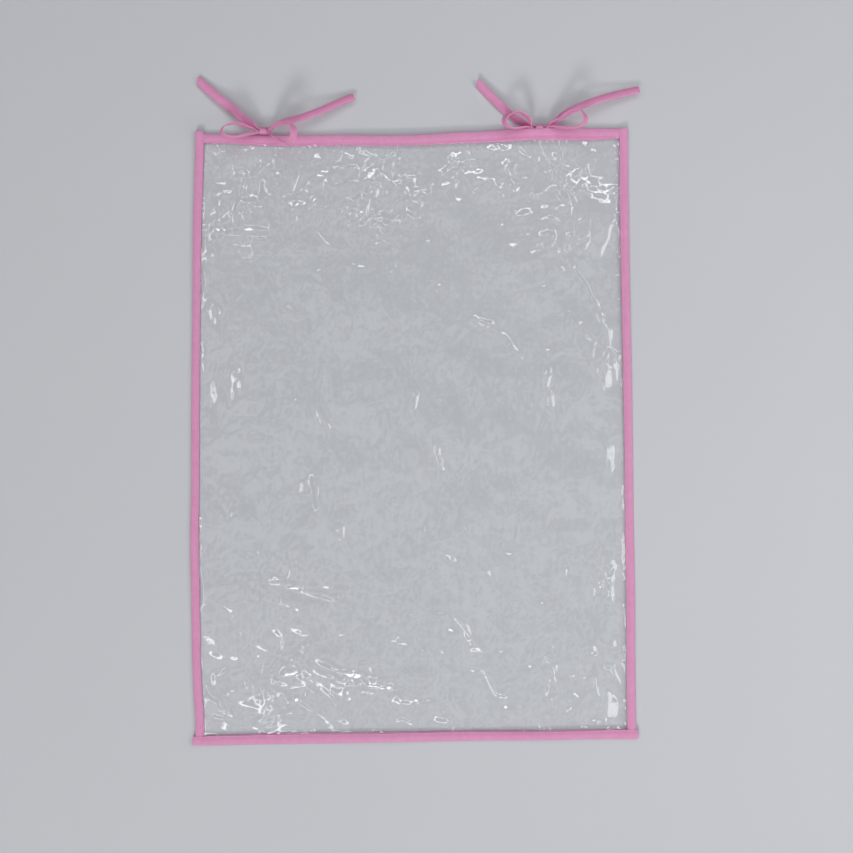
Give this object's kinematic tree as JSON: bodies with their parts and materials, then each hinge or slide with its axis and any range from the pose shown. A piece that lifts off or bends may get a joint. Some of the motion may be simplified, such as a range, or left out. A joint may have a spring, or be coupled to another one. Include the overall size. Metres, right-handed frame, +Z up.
{
  "type": "bound clear film panel with tie bows",
  "caption": "Clear flexible film panel bound in folded pink tape on all four sides, with tie ribbons tied in bows at its top edge.",
  "frame": {"origin": "under the middle of the object's box, on the surface that it lies on", "axes": "+Z up, out of the panel's face; +Y along the panel towards the edge with the ties; +X to the right seen from above with the ties at the top"},
  "size_m": [0.5158, 0.7624, 0.0462],
  "materials": {
    "clear_film": "clear soft vinyl film, glossy, with creases",
    "binding_tape": "pink folded bias tape, fine plain weave, matte",
    "tie_ribbon": "the same tape stitched shut, a deeper pink in its folds",
    "sewing_thread": "pink polyester sewing thread"
  },
  "bodies": {
    "upper_panel": {"upper_film": "clear_film", "top_binding": "binding_tape", "top_needle_thread": "sewing_thread", "top_bobbin_thread": "sewing_thread", "left_upper_binding": "binding_tape", "left_upper_needle_thread": "sewing_thread", "left_upper_bobbin_thread": "sewing_thread", "right_upper_binding": "binding_tape", "right_upper_needle_thread": "sewing_thread", "right_upper_bobbin_thread": "sewing_thread", "left_tie_anchor": "tie_ribbon", "left_tie_tack": "sewing_thread", "right_tie_anchor": "tie_ribbon", "right_tie_tack": "sewing_thread"},
    "lower_panel": {"lower_film": "clear_film", "bottom_binding": "binding_tape", "bottom_needle_thread": "sewing_thread", "bottom_bobbin_thread": "sewing_thread", "left_lower_binding": "binding_tape", "left_lower_needle_thread": "sewing_thread", "left_lower_bobbin_thread": "sewing_thread", "right_lower_binding": "binding_tape", "right_lower_needle_thread": "sewing_thread", "right_lower_bobbin_thread": "sewing_thread"},
    "left_bow": {"left_bow_knot": "tie_ribbon"},
    "left_bow_left_loop": {"left_bow_left_loop": "tie_ribbon"},
    "left_bow_right_loop": {"left_bow_right_loop": "tie_ribbon"},
    "left_bow_left_tail": {"left_bow_left_tail": "tie_ribbon"},
    "left_bow_right_tail": {"left_bow_right_tail": "tie_ribbon"},
    "right_bow": {"right_bow_knot": "tie_ribbon"},
    "right_bow_left_loop": {"right_bow_left_loop": "tie_ribbon"},
    "right_bow_right_loop": {"right_bow_right_loop": "tie_ribbon"},
    "right_bow_left_tail": {"right_bow_left_tail": "tie_ribbon"},
    "right_bow_right_tail": {"right_bow_right_tail": "tie_ribbon"}
  },
  "joints": [
    {"name": "panel_fold", "type": "hinge", "parent": "upper_panel", "child": "lower_panel", "pos_m": [-0.00538, -0.03116, 0.00325], "axis": [-1, 0, 0], "range_deg": [0, 160]},
    {"name": "left_bow_rock", "type": "hinge", "parent": "upper_panel", "child": "left_bow", "pos_m": [-0.17298, 0.32044, 0.00819], "axis": [1, 0, 0], "range_deg": [0, 16]},
    {"name": "left_bow_left_loop_swing", "type": "hinge", "parent": "left_bow", "child": "left_bow_left_loop", "pos_m": [-0.17298, 0.32044, 0.00819], "axis": [0, 1, 0], "range_deg": [-8, 35]},
    {"name": "left_bow_right_loop_swing", "type": "hinge", "parent": "left_bow", "child": "left_bow_right_loop", "pos_m": [-0.17298, 0.32044, 0.00819], "axis": [0, -1, 0], "range_deg": [-8, 25]},
    {"name": "left_bow_left_tail_sweep", "type": "hinge", "parent": "left_bow", "child": "left_bow_left_tail", "pos_m": [-0.17298, 0.32044, 0.00819], "axis": [0, 0, -1], "range_deg": [0, 40]},
    {"name": "left_bow_right_tail_sweep", "type": "hinge", "parent": "left_bow", "child": "left_bow_right_tail", "pos_m": [-0.17298, 0.32044, 0.00819], "axis": [0, 0, 1], "range_deg": [0, 40]},
    {"name": "right_bow_rock", "type": "hinge", "parent": "upper_panel", "child": "right_bow", "pos_m": [0.14132, 0.32424, 0.00639], "axis": [1, 0, 0], "range_deg": [0, 10]},
    {"name": "right_bow_left_loop_swing", "type": "hinge", "parent": "right_bow", "child": "right_bow_left_loop", "pos_m": [0.14132, 0.32424, 0.00639], "axis": [0, 1, 0], "range_deg": [-2, 35]},
    {"name": "right_bow_right_loop_swing", "type": "hinge", "parent": "right_bow", "child": "right_bow_right_loop", "pos_m": [0.14132, 0.32424, 0.00639], "axis": [0, -1, 0], "range_deg": [-2, 30]},
    {"name": "right_bow_left_tail_sweep", "type": "hinge", "parent": "right_bow", "child": "right_bow_left_tail", "pos_m": [0.14132, 0.32424, 0.00639], "axis": [0, 0, -1], "range_deg": [0, 40]},
    {"name": "right_bow_right_tail_sweep", "type": "hinge", "parent": "right_bow", "child": "right_bow_right_tail", "pos_m": [0.14132, 0.32424, 0.00639], "axis": [0, 0, 1], "range_deg": [0, 40]}
  ]
}
